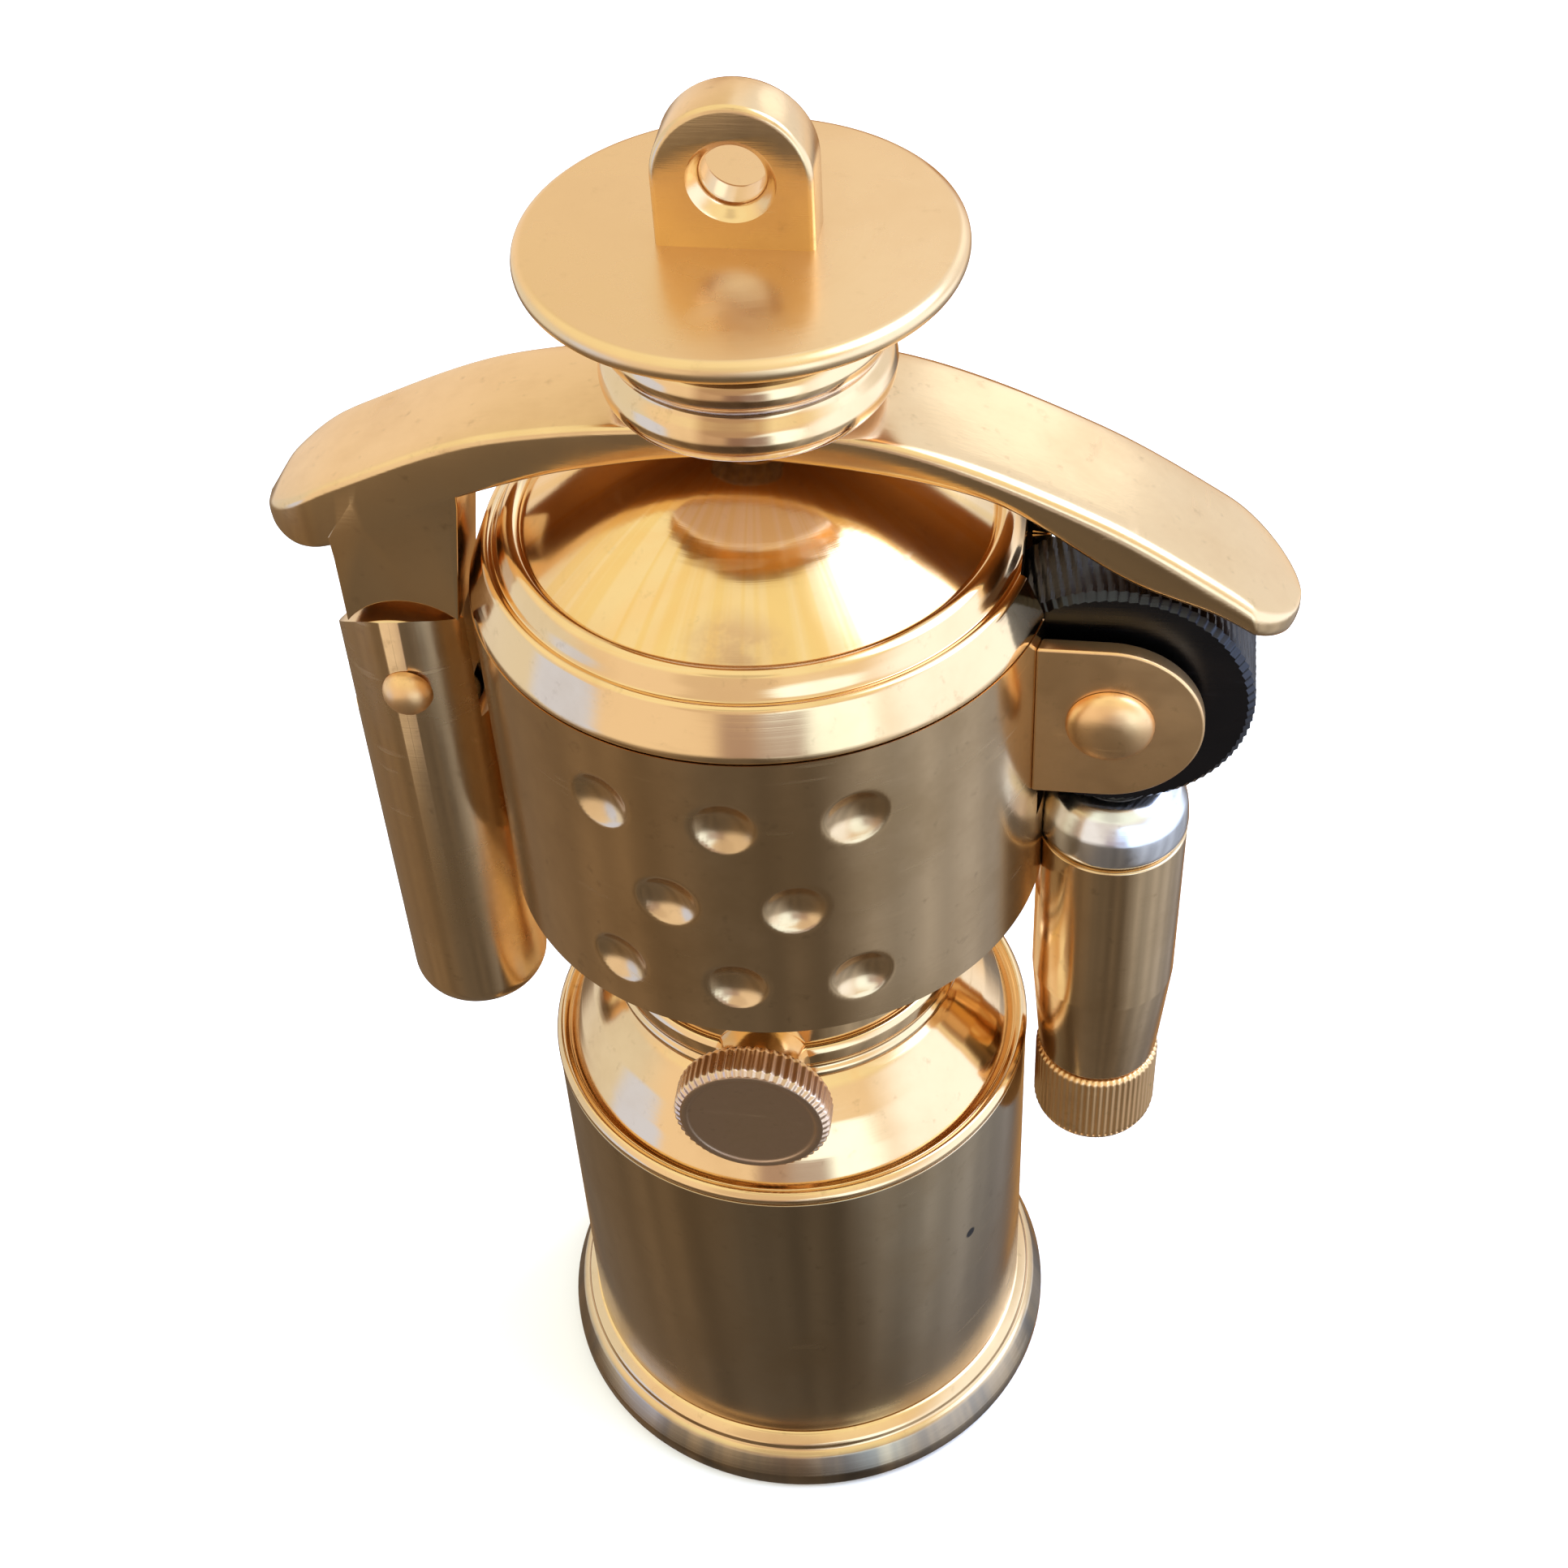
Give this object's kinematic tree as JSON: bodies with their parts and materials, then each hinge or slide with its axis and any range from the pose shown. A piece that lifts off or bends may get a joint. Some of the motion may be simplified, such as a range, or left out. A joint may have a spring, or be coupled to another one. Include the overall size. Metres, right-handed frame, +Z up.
{
  "type": "petrol lighter",
  "caption": "Small brass petrol lighter shaped like a miner's lamp: round tank and drum, bowed lever with snuffer cap, side flint wheel and filler plug.",
  "frame": {"origin": "centre of the underside of the foot, on the tank axis", "axes": "+Z up along the tank axis, +X from the hinge tube to the flint wheel, -Y the side with the filler plug"},
  "size_m": [0.0365, 0.0224, 0.0639],
  "materials": {
    "polished_brass": "polished",
    "satin_brass": "satin",
    "dark_steel": "satin",
    "bright_nickel": "polished",
    "spring_steel": "satin",
    "flint_grey": "matte",
    "cotton": "matte",
    "black_rubber": "matte"
  },
  "bodies": {
    "lamp": {"base_disc": "satin_brass", "cotton_wadding": "cotton", "drum_dome": "polished_brass", "drum_floor": "satin_brass", "drum_rim": "polished_brass", "drum_shell": "satin_brass", "filler_boss": "polished_brass", "flint": "flint_grey", "flint_ferrule": "bright_nickel", "flint_tube": "satin_brass", "foot_ring": "polished_brass", "front_bracket": "satin_brass", "hinge_pin": "polished_brass", "neck_collar": "polished_brass", "plunger_spring": "spring_steel", "rear_bracket": "satin_brass", "spring_tube": "satin_brass", "tank_shell": "satin_brass", "tank_shoulder": "polished_brass", "wheel_axle": "polished_brass", "wick": "cotton", "wick_tube": "polished_brass"},
    "lever": {"lever_arm": "polished_brass", "cap_neck": "polished_brass", "snuffer_pad": "black_rubber", "cap_disc": "polished_brass", "bail_tab": "polished_brass"},
    "striker": {"flint_wheel": "dark_steel"},
    "plunger": {"snap_plunger": "bright_nickel"},
    "screw_carriage": {"flint_spring": "spring_steel"},
    "screw": {"flint_screw": "satin_brass"},
    "plug_carriage": {"plug_washer": "black_rubber"},
    "plug": {"filler_plug": "satin_brass"}
  },
  "joints": [
    {"name": "arm_lift", "type": "hinge", "parent": "lamp", "child": "lever", "pos_m": [-0.013, 0, 0.0407], "axis": [0, -1, 0], "range_deg": [0, 65]},
    {"name": "wheel_spin", "type": "hinge", "parent": "lamp", "child": "striker", "pos_m": [0.01264, 0, 0.0414], "axis": [0, 1, 0], "continuous": true},
    {"name": "plunger_press", "type": "slide", "parent": "lamp", "child": "plunger", "axis": [0, 0, -1], "range_m": [0, 0.0012], "stiffness_N_per_m": 200, "deforming": ["plunger_spring"]},
    {"name": "screw_travel", "type": "slide", "parent": "lamp", "child": "screw_carriage", "axis": [0, 0, -1], "range_m": [0, 0.0035]},
    {"name": "screw_turn", "type": "hinge", "parent": "screw_carriage", "child": "screw", "pos_m": [0.013, 0, 0.0162], "axis": [0, 0, -1], "range_deg": [0, 2521]},
    {"name": "plug_travel", "type": "slide", "parent": "lamp", "child": "plug_carriage", "axis": [0, -1, 0], "range_m": [0, 0.00275]},
    {"name": "plug_turn", "type": "hinge", "parent": "plug_carriage", "child": "plug", "pos_m": [0, -0.01005, 0.0258], "axis": [0, -1, 0], "range_deg": [0, 1981]}
  ],
  "couplings": [
    {"joint": "screw_turn", "follows": "screw_travel", "rad_per_m": 12566},
    {"joint": "plug_turn", "follows": "plug_travel", "rad_per_m": 12566}
  ]
}
